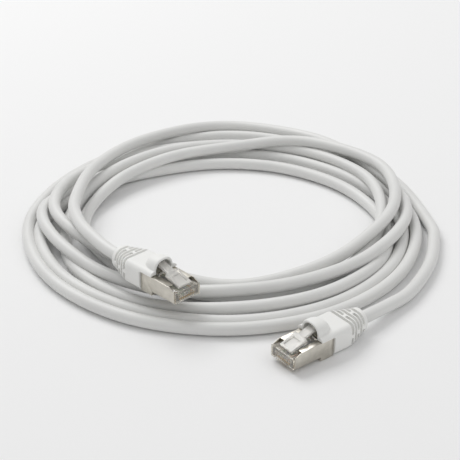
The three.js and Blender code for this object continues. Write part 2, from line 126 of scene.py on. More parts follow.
@dataclass(frozen=True)
class BootSizes:
    """The boot's sizes in its plug's frame, millimetres."""

    width: float = 13.2
    height: float = 9.2
    front: float = 18.1
    plain_to: float = 25.9
    end: float = 35.4
    end_width: float = 8.6
    end_height: float = 8.8
    corner: float = 2.2
    end_corner: float = 4.2
    least_corner: float = 0.5
    curve_share: float = 0.35
    ribs: int = 5
    end_band: float = 1.1
    slot: float = 1.1
    slot_depth: float = 1.6
    slot_core: Flat = (2.0, 3.0)
    bridge: float = 1.3
    sleeve_bore: float = 3.7
    bore_reach: float = 5.0
    bore_step: float = 0.3
    cable_bore: float = 2.62
    grain: float = 0.16
    softness: int = 2


@dataclass(frozen=True)
class HoodSizes:
    """The sizes of the arch over the latch's tail, millimetres and shares."""

    foot: float = 5.85
    edge: float = 0.6
    flare: float = 1.0
    waist: float = 4.5
    lean: float = 0.3
    height: float = 5.4
    shoulder: float = 0.8
    crown: float = 0.6
    wall: float = 1.1
    lip: float = 0.5
    lip_scales: Flat = (0.95, 0.98)
    lip_share: float = 0.3
    mouth_scale: float = 1.06
    straight: float = 1.7
    length: float = 7.4
    bluntness: float = 2.3
    clearance: float = 0.12


@dataclass(frozen=True)
class Resting:
    """Where a plug lies: the middle of its nose at underside height, then its turns."""

    at: Point
    yaw: float
    pitch: float
    roll: float


class End(Enum):
    """The cable's two ends."""

    A = "a"
    B = "b"


RESTING = {
    End.A: Resting((-14.8, -68.2, 9.9), 135.5, 1.0, 3.0),
    End.B: Resting((17.5, -92.2, 0.0), 38.0, 0.0, 0.0),
}


# -------------------- places


class PlugFrame:
    """Carries points from a plug's own frame to the bench and to the row's frame."""

    def __init__(self, end: End, shift: Vector) -> None:
        """Works out the plug's turns and place.

        Args:
            end: Which end of the cable.
            shift: The bench's place in the row's frame, metres.
        """
        self.end = end
        self.shift = shift
        resting = RESTING[end]
        yaw = Matrix.Rotation(math.radians(resting.yaw), 4, "Z")
        pitch = Matrix.Rotation(math.radians(resting.pitch), 4, "Y")
        roll = Matrix.Rotation(math.radians(resting.roll), 4, "X")
        self.to_bench = Matrix.Translation(resting.at) @ (yaw @ pitch @ roll)
        self.to_row = Matrix.Translation(shift) @ Matrix.Scale(MM, 4) @ self.to_bench

    def bench(self, point: Point) -> Vector:
        """Gives a plug point's place on the bench, millimetres."""
        return self.to_bench @ Vector(point)

    def named(self, label: str) -> str:
        """Gives the full name of one of this plug's pieces."""
        return f"{label}_{self.end.value}"


def bench_shift() -> Vector:
    """Finds the bench's place in the row's frame from where plug B's face mount is.

    Returns:
        The shift in metres.
    """
    mounts = {mount["name"]: mount for mount in frame["record"]["mounts"]}
    face = Vector(mounts["plug_b_face"]["pos_m"])
    return face - PlugFrame(End.B, Vector()).bench((0, 0, PlugSizes.face_mount)) * MM


def placed(name: str, data: bpy.types.ID) -> bpy.types.Object:
    """Puts data in the scene as an object of its own.

    Args:
        name: The object's name.
        data: Its mesh, curve, lamp or camera.

    Returns:
        The object.
    """
    made = bpy.data.objects.new(name, data)
    bpy.context.scene.collection.objects.link(made)
    return made


# -------------------- solids


def bezier(controls: Sequence[Flat], steps: int) -> list[Flat]:
    """Walks a curve from its first control point to its last.

    Args:
        controls: The control points.
        steps: How many stretches the curve is divided into.

    Returns:
        The curve's points, both ends among them.
    """
    curve = []
    for step in range(steps + 1):
        part = step / steps
        points = [Vector(control) for control in controls]
        while len(points) > 1:
            points = [here.lerp(there, part) for here, there in zip(points, points[1:])]
        curve.append(tuple(points[0]))
    return curve


class Form:
    """A closed solid being shaped in a plug's own frame, in millimetres."""

    BARREL_SIDES = 64

    def __init__(self, mesh: bpy.types.Mesh) -> None:
        """Holds the mesh in an object of its own."""
        self.object = placed("form", mesh)

    @classmethod
    def from_bmesh(cls, work: bmesh.types.BMesh) -> "Form":
        """Makes a form from bmesh work, faces turned outwards.

        Args:
            work: The bmesh, freed here.

        Returns:
            The form.
        """
        bmesh.ops.recalc_face_normals(work, faces=work.faces)
        mesh = bpy.data.meshes.new("form")
        work.to_mesh(mesh)
        work.free()
        return cls(mesh)

    @classmethod
    def block(cls, low: Point, high: Point) -> "Form":
        """Makes a box between two corners.

        Args:
            low: Lowest corner.
            high: Highest corner.

        Returns:
            The form.
        """
        work = bmesh.new()
        bmesh.ops.create_cube(work, size=1)
        bmesh.ops.scale(work, vec=Vector(high) - Vector(low), verts=work.verts)
        bmesh.ops.translate(work, vec=(Vector(low) + Vector(high)) / 2, verts=work.verts)
        return cls.from_bmesh(work)

    @classmethod
    def slab(cls, outline: Sequence[Flat], half: float) -> "Form":
        """Carries a side outline of x and z points across the plug.

        Args:
            outline: The outline's points.
            half: Half of the width.

        Returns:
            The form.
        """
        work = bmesh.new()
        face = work.faces.new([work.verts.new((x, -half, z)) for x, z in outline])
        moved = bmesh.ops.extrude_face_region(work, geom=[face])
        verts = [item for item in moved["geom"] if isinstance(item, bmesh.types.BMVert)]
        bmesh.ops.translate(work, vec=(0, 2 * half, 0), verts=verts)
        return cls.from_bmesh(work)

    @classmethod
    def loft(cls, rings: Sequence[Sequence[Point]]) -> "Form":
        """Joins rings of equal count into a skin closed at both ends.

        Args:
            rings: The rings, in order.

        Returns:
            The form.
        """
        work = bmesh.new()
        loops = []
        for ring in rings:
            verts = [work.verts.new(point) for point in ring]
            loops.append([work.edges.new(pair) for pair in zip(verts, verts[1:] + verts[:1])])
        for here, there in zip(loops, loops[1:]):
            bmesh.ops.bridge_loops(work, edges=here + there)
        bmesh.ops.edgeloop_fill(work, edges=loops[0])
        bmesh.ops.edgeloop_fill(work, edges=loops[-1])
        return cls.from_bmesh(work)

    @classmethod
    def barrel(cls, radius: float, start: float, end: float, height: float) -> "Form":
        """Makes a round bar along the plug.

        Args:
            radius: Its radius.
            start: Where it starts along the plug.
            end: Where it ends.
            height: Its middle's height.

        Returns:
            The form.
        """
        work = bmesh.new()
        middle = Matrix.Translation(((start + end) / 2, 0, height))
        bmesh.ops.create_cone(work, cap_ends=True, segments=cls.BARREL_SIDES, radius1=radius,
                              radius2=radius, depth=end - start,
                              matrix=middle @ Matrix.Rotation(math.pi / 2, 4, "Y"))
        return cls.from_bmesh(work)

    def _apply(self, kind: str, settings: dict[str, object]) -> "Form":
        """Applies one modifier to the form.

        Args:
            kind: The modifier's type.
            settings: Its settings.

        Returns:
            The form itself.
        """
        modifier = self.object.modifiers.new(kind.lower(), kind)
        for name, value in settings.items():
            setattr(modifier, name, value)
        graph = bpy.context.evaluated_depsgraph_get()
        shaped = bpy.data.meshes.new_from_object(self.object.evaluated_get(graph))
        self.object.modifiers.clear()
        self.object.data = shaped
        return self

    def _with(self, others: Sequence["Form"], operation: str) -> "Form":
        """Combines this form with others, which are used up.

        Args:
            others: The other forms.
            operation: The boolean's kind.

        Returns:
            The form itself.
        """
        for other in others:
            self._apply("BOOLEAN", {"object": other.object, "operation": operation,
                                    "solver": "EXACT"})
            bpy.data.objects.remove(other.object)
        return self

    def cut(self, *others: "Form") -> "Form":
        """Takes other forms away from this one."""
        return self._with(others, "DIFFERENCE")

    def join(self, *others: "Form") -> "Form":
        """Adds other forms to this one."""
        return self._with(others, "UNION")

    def bevelled(self, width: float, segments: int, above: float) -> "Form":
        """Rounds edges bent by more than an angle in degrees."""
        return self._apply("BEVEL", {"width": width, "segments": segments,
                                     "limit_method": "ANGLE", "angle_limit": math.radians(above),
                                     "miter_outer": "MITER_ARC"})

    def moulded(self, grain: float, softness: int) -> "Form":
        """Remakes the surface with even facets and smooths it, as a moulding's edges are."""
        self._apply("REMESH", {"mode": "VOXEL", "voxel_size": grain})
        return self._apply("SMOOTH", {"factor": 0.5, "iterations": softness})

    def repeated(self, count: int, step: Point) -> "Form":
        """Repeats the form in a row, each a step from the last."""
        return self._apply("ARRAY", {"count": count, "use_relative_offset": False,
                                     "use_constant_offset": True,
                                     "constant_offset_displace": step})

    def carried(self, move: Matrix) -> "Form":
        """Moves the form by a matrix."""
        self.object.data.transform(move)
        return self

    def piece(self, name: str, place: PlugFrame, finish: bpy.types.Material,
              sharp: float) -> bpy.types.Object:
        """Places the form for good as a named piece.

        Args:
            name: The piece's name.
            place: The plug it belongs to.
            finish: Its material.
            sharp: Edges bent more than this stay sharp, degrees.

        Returns:
            The piece.
        """
        mesh = self.object.data
        local = mesh.attributes.new("plug", "FLOAT_VECTOR", "POINT")
        flat = np.zeros(len(mesh.vertices) * 3, np.float32)
        mesh.vertices.foreach_get("co", flat)
        local.data.foreach_set("vector", flat)
        mesh.transform(place.to_row)
        mesh.shade_smooth()
        mesh.set_sharp_from_angle(angle=math.radians(sharp))
        mesh.materials.clear()
        mesh.materials.append(finish)
        mesh.name = name
        self.object.name = name
        return self.object


# -------------------- the cable

# Each row is a turn, laid clockwise from the left, with a number for each of its stations:
# SWING is how far the cable swings from the coil's middle, and LAYER how high it rides, in
# cable diameters above the floor layer.
STATIONS = 8
SWING = [
    [61.5, 68, 84.3, 74, 70.5, 59.5, 57, 62.5],
    [74.6, 64.5, 61.5, 63, 68.5, 69.9, 71, 73.6],
    [76, 57, 52, 54.5, 61, 65.6, 63.3, 67.5],
    [65, 62.5, 64.5, 67, 61, 56.4, 54.8, 52.5],
    [58, 55, 58, 73.8, 65.5, 50, 47, 51],
    [70.2, 73, 69, 69.4, 74.3, 74.8, 75.2, 77.8],
    [80.2, 78, 81, 78, 79.5],
]
LAYER = [
    [2.2, 1.55, 0, 0.3, 1, 1.1, 1, 0.3],
    [1, 0, 0, 0, 0, 0, 0, 0],
    [0, 0, 0, 0, 0, 0.9, 0.5, 0],
    [0, 0.95, 0.9, 0.8, 1, 0.2, 0, 0],
    [0, 1, 1.1, 1.45, 1.8, 0.6, 0, 0.6],
    [1.1, 0, 0, 0, 0, 0, 0, 0],
    [0, 0, 0, 0, 0],
]
# Where each free stretch passes between its boot and the coil, boot first for A and last for B.
LEAD_A_POINTS = [(-50.5, -31.0, 14.2), (-58.0, -17.0, 13.8)]
LEAD_B_POINTS = [(79.3, -14.0, 2.4), (74.9, -32.0, 2.4), (65.6, -50.0, 2.5), (56.0, -60.5, 3.4)]
# How many steps a curve is measured in between two of its points.
CURVE_STEPS = 40


def through(values: Sequence[float], place: np.ndarray) -> np.ndarray:
    """Runs a smooth curve through an evenly spaced list.

    Args:
        values: The list.
        place: Fractional places in it.

    Returns:
        The curve's value at each place.
    """
    known = np.asarray(values, float)
    last = len(known) - 1
    index = np.clip(np.floor(place).astype(int), 0, last - 1)
    part = place - index
    b, c = known[index], known[index + 1]
    a = np.where(index > 0, known[np.maximum(index - 1, 0)], 2 * b - c)
    d = np.where(index + 2 <= last, known[np.minimum(index + 2, last)], 2 * c - b)
    bend = (3 * (b - c) + d - a) * part**3 + (2 * a - 5 * b + 4 * c - d) * part**2
    return b + ((c - a) * part + bend) / 2


def evenly(points: np.ndarray, step: float) -> np.ndarray:
    """Lays points again at an even spacing along a smooth curve through them.

    Args:
        points: The points, one a row.
        step: The spacing wanted.

    Returns:
        The evenly spaced points, both ends kept.
    """
    fine = np.linspace(0, len(points) - 1, CURVE_STEPS * len(points))
    dense = np.stack([through(points[:, axis], fine) for axis in range(3)], axis=1)
    lengths = np.linalg.norm(np.diff(dense, axis=0), axis=1)
    along = np.concatenate([[0], np.cumsum(lengths)])
    stations = np.linspace(0, along[-1], max(int(round(along[-1] / step)), 2) + 1)
    return np.stack([np.interp(stations, along, dense[:, axis]) for axis in range(3)], axis=1)


class Cable:
    """The whole cable: out of one boot, round the coil and into the other."""

    def __init__(self, ends: dict[End, PlugFrame]) -> None:
        """Keeps the sizes and each plug's frame."""
        self.sizes = CableSizes()
        self.ends = ends

    def turns(self) -> np.ndarray:
        """Gives the coil as laid by the tables.

        Returns:
            Its points in the bench frame, millimetres.
        """
        s = self.sizes
        place = np.arange(int(s.turns * s.per_turn) + 1) * STATIONS / s.per_turn
        swing = through([value for row in SWING for value in row], place)
        layer = np.maximum(through([value for row in LAYER for value in row], place), 0)
        angle = math.pi - place * 2 * math.pi / STATIONS
        return np.stack([
            s.middle[0] + swing * np.cos(angle),
            s.middle[1] + swing * np.sin(angle),
            s.diameter * (0.5 + layer),
        ], axis=1)

    def lead(self, end: End, chosen: Sequence[Point]) -> np.ndarray:
        """Gives a free stretch's points from its boot up to the coil.

        Args:
            end: Which end of the cable.
            chosen: The given points between boot and coil, boot first.

        Returns:
            The points, millimetres, boot first.
        """
        inside = BootSizes.front + PlugSizes.gap - BootSizes.end
        reaches = (inside, inside / 2, 0, self.sizes.straight)
        out = [self.ends[end].bench((BootSizes.end + reach, 0, PlugSizes.cable_axis))
               for reach in reaches]
        return np.array([tuple(point) for point in [*out, *chosen]])

    def route(self) -> np.ndarray:
        """Joins both free stretches and the coil, and eases the turns apart.

        Returns:
            The cable's middle line, millimetres, from plug A's boot to plug B's.
        """
        how = Settling()
        coil = self.turns()[::self.sizes.laid_every]
        lead_a = self.lead(End.A, LEAD_A_POINTS)
        lead_b = self.lead(End.B, LEAD_B_POINTS[::-1])[::-1]
        laid = evenly(np.concatenate([lead_a, coil, lead_b]), how.spacing)
        return evenly(self.settle(laid, how), how.spacing / 2)

    def settle(self, laid: np.ndarray, how: Settling) -> np.ndarray:
        """Eases strands apart until they only touch, keeping each on or above the floor.

        Args:
            laid: The middle line as laid.
            how: How strongly and how often the strands are moved.

        Returns:
            The settled middle line.
        """
        need = self.sizes.diameter + how.clearance
        index = np.arange(len(laid))
        others = np.abs(index[:, None] - index[None, :]) > how.neighbours
        from_end = np.minimum(index, index[::-1])
        hold = np.clip(from_end / how.freed_over - how.held_share, 0, 1)[:, None]
        points = laid.copy()
        for turn in range(how.rounds):
            between = points[:, None, :] - points[None, :, :]
            apart = np.sqrt((between**2).sum(-1)) + 1e-9
            push = np.where(others & (apart < need), (need - apart) / apart, 0)
            count = np.maximum((push > 0).sum(1), 1)[:, None]
            shift = points + how.push * (between * push[:, :, None]).sum(1) / count - laid
            early = turn < how.rounds - how.last_rounds
            shift[:, 2] -= how.sink if early else 0
            blend = np.zeros_like(shift)
            blend[1:-1] = shift[:-2] + shift[2:] - 2 * shift[1:-1]
            smoothing = how.smoothing if early else how.last_smoothing
            points = laid + hold * (shift + smoothing * blend)
            points[:, 2] = np.maximum(points[:, 2], self.sizes.diameter / 2)
        return points

    def build(self, finish: bpy.types.Material, partners: list[bpy.types.Object]) -> None:
        """Args:
            finish: Its jacket's material.
            partners: The pieces on its far end; not used.
        """
        diameter = self.sizes.diameter * MM
        route = self.route() * MM
        route += np.array(self.ends[End.A].shift)
        curve = bpy.data.curves.new("cable", "CURVE")
        curve.dimensions = "3D"
        curve.bevel_depth = diameter / 2
        curve.bevel_resolution = self.sizes.facets
        curve.use_fill_caps = True
        spline = curve.splines.new("POLY")
        spline.points.add(len(route) - 1)
        spline.points.foreach_set("co", np.c_[route, np.ones(len(route))].ravel())
        spline.use_smooth = True
        curve.materials.append(finish)
        cable = placed("cable", curve)
        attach(cable, "cable")
        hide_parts("cable_lead_a", "cable_coil", "cable_lead_b",
                    "jacket_end_a", "jacket_end_b")


# -------------------- finishes


class Field:
    """A number that varies over a surface, written as arithmetic on shader sockets."""

    def __init__(self, shader: "Shader", source: object) -> None:
        """Wraps a socket or a plain number."""
        self.shader = shader
        self.source = source

    def _maths(self, operation: str, *others: object) -> "Field":
        """Adds one Math node on this field and others, and gives its result."""
        node = self.shader.node("ShaderNodeMath", {"operation": operation},
                                dict(enumerate([self, *others])))
        return Field(self.shader, node.outputs[0])

    def __add__(self, other: object) -> "Field":
        """Adds."""
        return self._maths("ADD", other)

    __radd__ = __add__

    def __sub__(self, other: object) -> "Field":
        """Takes away."""
        return self._maths("SUBTRACT", other)

    def __rsub__(self, other: object) -> "Field":
        """Takes this from another."""
        return Field(self.shader, other)._maths("SUBTRACT", self)

    def __mul__(self, other: object) -> "Field":
        """Multiplies."""
        return self._maths("MULTIPLY", other)

    __rmul__ = __mul__

    def sine(self) -> "Field":
        """Gives the sine of this field, taken as radians."""
        return self._maths("SINE")

    def between(self, low: float, high: float) -> "Field":
        """Rises smoothly from 0 at the low value to 1 at the high one."""
        node = self.shader.node("ShaderNodeMapRange", {"interpolation_type": "SMOOTHSTEP"},
                                {"Value": self, "From Min": low, "From Max": high})
        return Field(self.shader, node.outputs["Result"])


class Shader:
    """One material's node tree, with a Principled surface."""

    def __init__(self, name: str, constants: dict[str, object]) -> None:
        """Makes the material and sets what is the same all over it.

        Args:
            name: The material's name.
            constants: Values for the surface's own sockets.
        """
        self.material = bpy.data.materials.new(name)
        self.material.use_nodes = True
        self.tree = self.material.node_tree
        self.surface = self.tree.nodes["Principled BSDF"]
        for socket, value in constants.items():
            self.surface.inputs[socket].default_value = value

    def node(self, kind: str, settings: dict[str, object],
             values: dict[object, object]) -> bpy.types.Node:
        """Adds a node, its settings first and then its inputs.

        Args:
            kind: The node's type.
            settings: Its settings by name.
            values: Its inputs by name or number, as fields, sockets or plain values.

        Returns:
            The node.
        """
        node = self.tree.nodes.new(kind)
        for name, value in settings.items():
            setattr(node, name, value)
        for key, value in values.items():
            source = value.source if isinstance(value, Field) else value
            if isinstance(source, bpy.types.NodeSocket):
                self.tree.links.new(source, node.inputs[key])
            else:
                node.inputs[key].default_value = source
        return node

    def place(self) -> bpy.types.NodeSocket:
        """Gives the surface point in millimetres of the row's frame."""
        point = self.node("ShaderNodeTexCoord", {}, {}).outputs["Object"]
        return self.node("ShaderNodeVectorMath", {"operation": "SCALE"},
                         {0: point, "Scale": 1 / MM}).outputs[0]

    def local(self) -> bpy.types.NodeSocket:
        """Gives the surface point in the plug's own frame, millimetres."""
        attribute = self.node("ShaderNodeAttribute", {"attribute_name": "plug"}, {})
        return attribute.outputs["Vector"]

    def axes(self, vector: bpy.types.NodeSocket) -> tuple[Field, Field, Field]:
        """Splits a vector into its x, y and z fields."""
        node = self.node("ShaderNodeSeparateXYZ", {}, {0: vector})
        return tuple(Field(self, socket) for socket in node.outputs)

    def noise(self, vector: bpy.types.NodeSocket, scale: float, detail: float,
              roughness: float = 0.5) -> Field:
        """Gives smooth noise about 0.5, with its scale in blobs to a unit."""
        node = self.node("ShaderNodeTexNoise", {}, {"Vector": vector, "Scale": scale,
                                                    "Detail": detail, "Roughness": roughness})
        return Field(self, node.outputs[0])

    def colour(self, first: Colour, second: Colour, factor: Field) -> None:
        """Makes the surface's colour the first where the factor is 0 and the second at 1."""
        node = self.node("ShaderNodeMix", {"data_type": "RGBA"},
                         {0: factor, 6: (*first, 1), 7: (*second, 1)})
        self.tree.links.new(node.outputs[2], self.surface.inputs["Base Color"])

    def roughness(self, value: Field) -> None:
        """Links the surface's roughness."""
        self.tree.links.new(value.source, self.surface.inputs["Roughness"])

    def bump(self, height: Field, depth: float) -> None:
        """Links a bump, its height in units of a depth in millimetres."""
        node = self.node("ShaderNodeBump", {},
                         {"Strength": 1.0, "Distance": depth * MM, "Height": height})
        self.tree.links.new(node.outputs[0], self.surface.inputs["Normal"])


@dataclass(frozen=True)
class Moulding:
    """Soft moulded plastic or rubber: broad clouds, a faint grain and a little glow."""

    name: str
    light: Colour
    dark: Colour
    roughness: float
    grain: float = 3.0
    clouds: float = 0.045
    waves: float = 0.5
    depth: float = 0.012
    subsurface: float = 0.05

    def material(self) -> bpy.types.Material:
        """Builds the material.

        Returns:
            The material.
        """
        shader = Shader(self.name, {
            "Specular IOR Level": 0.45,
            "Subsurface Weight": self.subsurface,
            "Subsurface Radius": (1.0, 0.95, 0.9),
            "Subsurface Scale": 0.8 * MM,
        })
        place = shader.place()
        broad = shader.noise(place, self.clouds, 3)
        fine = shader.noise(place, self.grain, 4, 0.6)
        shader.colour(self.light, self.dark, broad.between(0.3, 0.75))
        shader.roughness(self.roughness + 0.16 * (fine - 0.5) + 0.08 * (broad - 0.5))
        shader.bump(fine + 0.6 * shader.noise(place, self.waves, 2), self.depth)
        return shader.material


@dataclass(frozen=True)
class Plate:
    """Plated sheet metal, faintly drawn along its length."""

    name: str
    light: Colour
    dark: Colour
    roughness: float
    drawn_along: float = 0.25
    drawn_across: float = 6.0
    depth: float = 0.006

    def material(self) -> bpy.types.Material:
        """Builds the material.

        Returns:
            The material.
        """
        shader = Shader(self.name, {"Metallic": 1.0})
        place = shader.local()
        along, across, up = shader.axes(place)
        drawn = shader.node("ShaderNodeCombineXYZ", {}, {
            0: along * self.drawn_along,
            1: across * self.drawn_across,
            2: up * self.drawn_across,
        })
        streak = shader.noise(drawn.outputs[0], 1.2, 3)
        cloud = shader.noise(place, 0.5, 2)
        shader.colour(self.light, self.dark, (0.6 * cloud + 0.4 * streak).between(0.3, 0.7))
        shader.roughness(self.roughness + 0.12 * (streak - 0.5) + 0.1 * (cloud - 0.5))
        shader.bump(streak + 0.5 * cloud, self.depth)
        return shader.material


@dataclass(frozen=True)
class Clear:
    """Clear moulded polycarbonate, with the slow ripple of its flow."""

    name: str
    tint: Colour
    roughness: float
    clearness: float
    ripple: float = 0.02

    def material(self) -> bpy.types.Material:
        """Builds the material.

        Returns:
            The material.
        """
        shader = Shader(self.name, {
            "Transmission Weight": self.clearness,
            "IOR": 1.45,
            "Base Color": (*self.tint, 1),
        })
        flow = shader.noise(shader.local(), 0.8, 2)
        shader.roughness(self.roughness + 0.05 * flow)
        shader.bump(flow, self.ripple)
        return shader.material


@dataclass(frozen=True)
class Wire:
    """A wire's insulation, plain or white with a stripe."""

    name: str
    colour: Colour
    striped: bool
    white: Colour = (0.78, 0.78, 0.76)
    stripe_level: float = 1.4
    stripe_up: float = 2.0
    depth: float = 0.01

    def material(self) -> bpy.types.Material:
        """Builds the material.

        Returns:
            The material.
        """
        shader = Shader(self.name, {"Roughness": 0.35, "Specular IOR Level": 0.5})
        place = shader.place()
        speck = shader.noise(place, 2.0, 2)
        if self.striped:
            x, y, z = shader.axes(place)
            band = ((x + y) * self.stripe_level + z * self.stripe_up).sine()
            shader.colour(self.white, self.colour, band.between(0.15, 0.35))
        else:
            shade = tuple(0.8 * part for part in self.colour)
            shader.colour(self.colour, shade, speck.between(0.35, 0.65))
        shader.bump(speck, self.depth)
        return shader.material


@dataclass(frozen=True)
class Braid:
    """Tinned copper braid folded back over the jacket, with painted shade in the hollows of its
    weave.
    """

    name: str
    light: Colour = (0.66, 0.64, 0.61)
    dark: Colour = (0.30, 0.29, 0.27)
    closeness: float = 9.0
    depth: float = 0.05

    def material(self) -> bpy.types.Material:
        """Builds the material.

        Returns:
            The material.
        """
        shader = Shader(self.name, {"Metallic": 1.0, "Roughness": 0.4})
        x, y, z = shader.axes(shader.place())
        one = ((x + y + z) * self.closeness).sine()
        two = ((x + y - z) * self.closeness).sine()
        weave = (one * two).between(-0.5, 0.5)
        # Dark where the weave is lowest: painted shade in the hollows between the strands.
        shader.colour(self.dark, self.light, weave)
        shader.bump(weave, self.depth)
        return shader.material


WIRES = [
    Wire("wire_white_orange", (0.72, 0.42, 0.22), True),
    Wire("wire_orange", (0.66, 0.36, 0.17), False),
    Wire("wire_white_green", (0.30, 0.46, 0.32), True),
    Wire("wire_blue", (0.22, 0.30, 0.48), False),
    Wire("wire_white_blue", (0.30, 0.38, 0.58), True),
    Wire("wire_green", (0.24, 0.40, 0.27), False),
    Wire("wire_white_brown", (0.42, 0.29, 0.20), True),
    Wire("wire_brown", (0.36, 0.25, 0.17), False),
]
# Each is named after the slot that it fills, but for the lever, which is in the clear slot.
FINISHES = [
    Moulding("jacket", (0.76, 0.76, 0.745), (0.72, 0.72, 0.707), 0.42),
    Moulding("boot", (0.86, 0.86, 0.84), (0.83, 0.83, 0.81), 0.5, grain=5.0),
    Plate("shield", (0.66, 0.63, 0.565), (0.56, 0.535, 0.48), 0.33),
    Plate("gold", (0.83, 0.60, 0.26), (0.70, 0.47, 0.18), 0.2),
    Clear("clear", (1.0, 0.97, 0.90), 0.04, 0.82),
    # The lever is the same clear plastic as the body, made whiter and less clear: painted
    # reflection, standing in for light caught inside the lever.
    Clear("lever", (1.0, 0.985, 0.95), 0.07, 0.5),
    Clear("bar", (0.93, 0.93, 0.96), 0.12, 0.88),
    Braid("braid"),
    *WIRES,
]


# -------------------- the plug's pieces


@dataclass(frozen=True)
class Piece:
    """One rebuilt piece of a plug, shaped in the plug's own frame."""

    LABEL: ClassVar[str]
    SLOT: ClassVar[str]
    FINISH: ClassVar[str] = ""
    NODES: ClassVar[tuple[str, ...]] = ()
    SHARP: ClassVar[float] = 35.0
    MOVES: ClassVar[bool] = False

    plug: PlugSizes = PlugSizes()

    def shape(self) -> Form:
        """Gives the piece's form, which each kind of piece makes in its own way."""
        raise NotImplementedError

    def build(self, place: PlugFrame,
              finishes: dict[str, bpy.types.Material]) -> bpy.types.Object:
        """Args:
            place: Its plug's frame.
            finishes: The materials by name.

        Returns:
            The piece.
        """
        name = place.named("fine_" + self.LABEL)
        finish = finishes[self.FINISH or self.SLOT]
        piece = self.shape().piece(name, place, finish, self.SHARP)
        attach(piece, place.named(self.LABEL) if self.MOVES else "cable")
        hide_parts(*[place.named(node) for node in self.NODES or (self.LABEL,)])
        log.info("%s: %d faces", name, len(piece.data.polygons))
        return piece


@dataclass(frozen=True)
class Boot(Piece):
    """The moulded boot: plain grip, ribbed tail, rails over the shell and the latch's hood."""

    LABEL = "boot"
    SLOT = "boot"
    SHARP = 180.0
    QUARTER_STEPS: ClassVar[int] = 8
    BODY_STEPS: ClassVar[int] = 14
    FLARE_STEPS: ClassVar[int] = 6
    CROWN_STEPS: ClassVar[int] = 14
    CLOSING_STEPS: ClassVar[int] = 14
    CLOSING_TURN: ClassVar[float] = 86.0

    sizes: BootSizes = BootSizes()
    hood: HoodSizes = HoodSizes()

    def ring(self, x: float, shrink: float = 0) -> list[Point]:
        """Gives the boot's rounded outline at one place along it.

        Args:
            x: The place along the plug.
            shrink: How far inside the surface it runs.

        Returns:
            The outline's points.
        """
        s = self.sizes
        part = min(max((x - s.plain_to) / (s.end - s.plain_to), 0), 1)
        part = part * part * (3 - 2 * part) * s.curve_share + part * (1 - s.curve_share)
        width = s.width + (s.end_width - s.width) * part
        height = s.height + (s.end_height - s.height) * part
        corner = max(s.corner + (s.end_corner - s.corner) * part - shrink, s.least_corner)
        half_y = width / 2 - shrink - corner
        half_z = height / 2 - shrink - corner
        points = []
        for quarter, (sign_y, sign_z) in enumerate([(1, 1), (-1, 1), (-1, -1), (1, -1)]):
            for step in range(self.QUARTER_STEPS + 1):
                angle = (quarter + step / self.QUARTER_STEPS) * math.pi / 2
                points.append((x, sign_y * half_y + corner * math.cos(angle),
                               s.height / 2 + sign_z * half_z + corner * math.sin(angle)))
        return points

    def body(self, start: float, end: float, shrink: float = 0) -> Form:
        """Gives the boot's plain body, or a smaller core of it.

        Args:
            start: Where it starts.
            end: Where it ends.
            shrink: How much smaller it is all round.

        Returns:
            The form.
        """
        step = (end - start) / self.BODY_STEPS
        stations = [start + step * index for index in range(self.BODY_STEPS + 1)]
        return Form.loft([self.ring(x, shrink) for x in stations])

    def slot_ring(self, index: int) -> Form:
        """Gives one ring slot, left uncut at its bridges, which alternate from slot to slot.

        Args:
            index: Which slot, counted from the plain grip.

        Returns:
            The form to cut.
        """
        s = self.sizes
        x = s.plain_to + index * (s.end - s.end_band - s.plain_to) / s.ribs
        low, high = x - PAST, x + s.slot + PAST
        half = s.bridge / 2
        axis = self.plug.cable_axis
        ring = Form.block((x, -FAR, -FAR), (x + s.slot, FAR, FAR))
        core = self.body(x - s.slot_core[0], x + s.slot_core[1], s.slot_depth)
        if index % 2:
            bridge = Form.block((low, -half, -FAR), (high, half, FAR))
        else:
            bridge = Form.block((low, -FAR, axis - half), (high, FAR, axis + half))
        return ring.cut(core, bridge)

    def arch_ring(self, x: float, foot: float, waist: float, height: float,
                  scale: float) -> list[Point]:
        """Gives the hood's outline at one place: spread feet, leaning sides and a round top.

        Args:
            x: The place along the plug.
            foot: Half of the width over the feet.
            waist: Half of the width above them.
            height: How high the outline is.
            scale: Its size against the full outline.

        Returns:
            The outline's points.
        """
        h = self.hood
        bend = (waist, h.edge + h.flare)
        flare = bezier([(foot, h.edge), (waist, h.edge), bend], self.FLARE_STEPS)
        crown = bezier([bend, (waist - h.lean, h.shoulder * height), (h.crown * waist, height),
                        (0, height)], self.CROWN_STEPS)
        right = [(foot, 0), *flare, *crown[1:]]
        outline = [(0, 0), *right, *[(-y, z) for y, z in right[-2::-1]]]
        base = self.plug.rear_top + h.clearance
        return [(x, y * scale, base + z * scale) for y, z in outline]

    def vault(self, front: Sequence[Flat], inset: float, end: float) -> Form:
        """Carries the hood's outline back: its lip, a straight stretch, then a blunt end.

        Args:
            front: Places along the plug and scales of the outline up to the straight stretch.
            inset: How far inside the outer surface it runs.
            end: Where it closes.

        Returns:
            The form.
        """
        h = self.hood
        waist = h.waist - inset
        foot = waist if inset else h.foot
        straight_end = self.plug.step_x + h.straight
        power = 2 / h.bluntness
        places = list(front)
        for step in range(self.CLOSING_STEPS + 1):
            turn = math.radians(self.CLOSING_TURN) * step / self.CLOSING_STEPS
            along = straight_end + (end - straight_end) * math.sin(turn) ** power
            places.append((along, math.cos(turn) ** power))
        height = h.height - inset
        return Form.loft([self.arch_ring(x, foot, waist, height, scale) for x, scale in places])

    def hooded(self) -> tuple[Form, Form]:
        """Gives the hood's solid and the room inside it.

        Returns:
            The solid, then the room to be cut from it.
        """
        h = self.hood
        front = self.plug.step_x
        lip_end = front + h.lip
        near, far = h.lip_scales
        lip = [(front, near), (front + h.lip_share * h.lip, far), (lip_end, 1)]
        mouth = [(front - PAST, h.mouth_scale), (front, h.mouth_scale), (lip_end, 1)]
        solid = self.vault(lip, 0, front + h.length)
        return solid, self.vault(mouth, h.wall, self.sizes.front)

